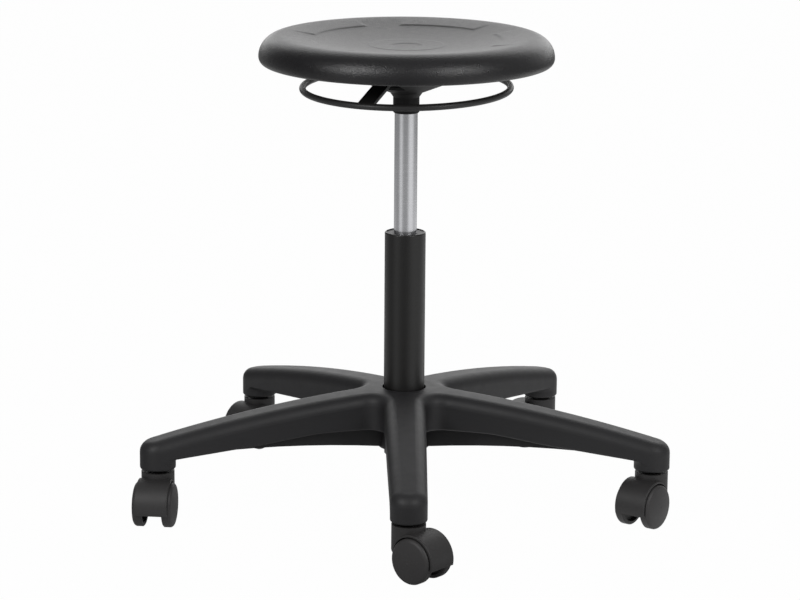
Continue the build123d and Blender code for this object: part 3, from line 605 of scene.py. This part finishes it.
class STOOL_OT_studio(bpy.types.Operator):
    """Set up the white floor, the backdrop, the lights and the camera"""

    bl_idname = "stool.studio"
    bl_label = "Studio"
    # Half the floor's width, its gap below the wheels, and its grey
    floor_half = 25
    floor_gap = 0.0002
    floor_grey = 0.55
    # Where each pool of light starts to fade and where it ends, as angles from its middle
    left_pool_edge = (radians(6), radians(26))
    right_pool_edge = (radians(12), radians(42))
    side_pool_edge = (radians(10), radians(55))
    # Where the floor behind the stool starts to gain light, as angles from the front
    behind_edge = (radians(75), radians(140))
    # Where the backdrop fades at its sides and at its top, and where the room dims at the left
    backdrop_edge = (radians(16), radians(42))
    backdrop_top = (0.55, 0.85)
    left_dim_edge = (-0.8, -0.2)
    # The camera's sensor in millimetres, and how far it sees in metres
    sensor_width = 36.0
    camera_reach = 100

    def floor(self, studio):
        """A large floor that shows white, with a trace of the stool's shadow."""
        bm = bmesh.new()
        bmesh.ops.create_grid(bm, x_segments=1, y_segments=1, size=self.floor_half)
        bmesh.ops.translate(bm, verts=bm.verts, vec=(0, 0, -self.floor_gap))
        paper = Finish("floor_paper")
        seen = paper.seen()
        shown = (studio.white * seen).math("MAXIMUM", studio.mirrored * paper.rays("Glossy"))
        lit = seen + (1 - seen) * self.pools(paper, studio)
        white = paper.add("ShaderNodeEmission", None, {"Color": (1, 1, 1, 1), "Strength": lit})
        matt = paper.add("ShaderNodeBsdfDiffuse", None, {"Color": (*[self.floor_grey] * 3, 1)})
        mixed = paper.add("ShaderNodeMixShader", None, {0: shown, 1: matt, 2: white})
        paper.feed(paper.nodes["Material Output"].inputs["Surface"], mixed)
        paper.nodes.remove(paper.shader)
        floor = new_piece("floor", bm, paper.material)

    def pools(self, paper, studio):
        """Brightness of the floor in reflections: a pool of light before each softbox on a dimmer floor."""
        near = 1 - paper.radius().ramp(studio.near_floor, 2 * studio.near_floor)
        bearing = paper.where("X").math("ARCTAN2", -1.0 * paper.where("Y"))
        behind = bearing.unsigned().ramp(*self.behind_edge)
        left = (bearing - studio.left_pool_turn).unsigned().ramp(*self.left_pool_edge)
        right = (bearing - studio.right_pool_turn).unsigned().ramp(*self.right_pool_edge)
        side = (bearing - studio.side_turn).unsigned().ramp(*self.side_pool_edge)
        glow = studio.floor_glow + near * (studio.floor_back * behind + studio.side_pool * (1 - side))
        return glow + studio.left_pool * (1 - left) + studio.right_pool * (1 - right)

    def world(self, scene, studio):
        """A white backdrop behind the stool, and a dim room before and above it."""
        scene.world = bpy.data.worlds.new("studio")
        room = Tree(scene.world)
        across = room.where("X", "Generated")
        bearing = across.math("ARCTAN2", room.where("Y", "Generated"))
        beside = (bearing - studio.back_turn).unsigned().ramp(*self.backdrop_edge)
        above = room.where("Z", "Generated").ramp(*self.backdrop_top)
        bright = across.ramp(*self.left_dim_edge)
        front = studio.front_glow * (studio.left_dim + (1 - studio.left_dim) * bright)
        glow = front + studio.back_glow * ((1 - beside) * (1 - above))
        backdrop = room.nodes["Background"].inputs
        room.feed(backdrop["Color"], (1, 1, 1, 1))
        room.feed(backdrop["Strength"], glow.math("MAXIMUM", room.seen()))

    def softbox(self, name, studio, turn, wide, power):
        """A tall soft light that faces the column, turned about it from the camera's side."""
        light = bpy.data.lights.new(name, "AREA")
        light.shape = "RECTANGLE"
        light.size = wide
        light.size_y = studio.lamp_tall
        light.energy = power
        lamp = bpy.data.objects.new(name, light)
        place = Vector((0, -studio.lamp_distance, studio.lamp_height))
        aim = Vector((0, 0, CAD_HIGH.z / 2)) - place
        facing = Matrix.Translation(place) @ aim.to_track_quat("-Z", "Y").to_matrix().to_4x4()
        lamp.matrix_world = Matrix.Rotation(studio.turn + turn, 4, "Z") @ facing
        bpy.context.scene.collection.objects.link(lamp)

    def camera(self, scene, studio):
        """The camera at the photograph's place."""
        data = bpy.data.cameras.new("camera")
        data.lens = studio.lens
        data.sensor_width = self.sensor_width
        data.clip_end = self.camera_reach
        camera = bpy.data.objects.new("camera", data)
        place = Matrix.Translation((studio.aside, -studio.distance, studio.height))
        tilt = Matrix.Rotation(pi / 2 - studio.pitch, 4, "X") @ Matrix.Rotation(studio.roll, 4, "Z")
        camera.matrix_world = Matrix.Rotation(studio.turn, 4, "Z") @ place @ tilt
        scene.collection.objects.link(camera)
        scene.camera = camera

    def execute(self, context):
        scene = context.scene
        studio = scene.stool_studio
        self.floor(studio)
        self.world(scene, studio)
        self.softbox("left_softbox", studio, studio.left_turn, studio.left_wide, studio.left_power)
        self.softbox("right_softbox", studio, studio.right_turn, studio.right_wide, studio.right_power)
        self.camera(scene, studio)
        scene.view_settings.view_transform = "Standard"
        return {"FINISHED"}


class STOOL_PT_panel(bpy.types.Panel):
    """The stool's pieces"""

    bl_idname = "STOOL_PT_panel"
    bl_label = "Rolling Stool"
    bl_space_type = "VIEW_3D"
    bl_region_type = "UI"
    bl_category = "Stool"

    def draw(self, context):
        for piece in PIECES:
            self.layout.operator(piece.bl_idname)
        for group in (context.scene.stool_seat, context.scene.stool_colours, context.scene.stool_studio):
            box = self.layout.box()
            for name in group.__annotations__:
                box.prop(group, name)


PIECES = (
    STOOL_OT_steel_fittings,
    STOOL_OT_base,
    STOOL_OT_casters,
    STOOL_OT_column,
    STOOL_OT_mount_and_lever,
    STOOL_OT_seat_cushion,
    STOOL_OT_studio,
)
GROUPS = {"stool_seat": StoolSeatSizes, "stool_colours": StoolColours, "stool_studio": StoolStudio}


def register():
    """Adds the property groups, the operators and the panel."""
    for group in GROUPS.values():
        bpy.utils.register_class(group)
    for name, group in GROUPS.items():
        setattr(bpy.types.Scene, name, PointerProperty(type=group))
    for item in (*PIECES, STOOL_PT_panel):
        bpy.utils.register_class(item)


def unregister():
    """Takes away what register added."""
    for item in reversed((*PIECES, STOOL_PT_panel)):
        bpy.utils.unregister_class(item)
    for name in GROUPS:
        delattr(bpy.types.Scene, name)
    for group in reversed(GROUPS.values()):
        bpy.utils.unregister_class(group)


def main():
    """Makes the pieces and the studio in order."""
    register()
    for piece in PIECES:
        family, action = piece.bl_idname.split(".")
        getattr(getattr(bpy.ops, family), action)()


if __name__ == "__main__":
    main()
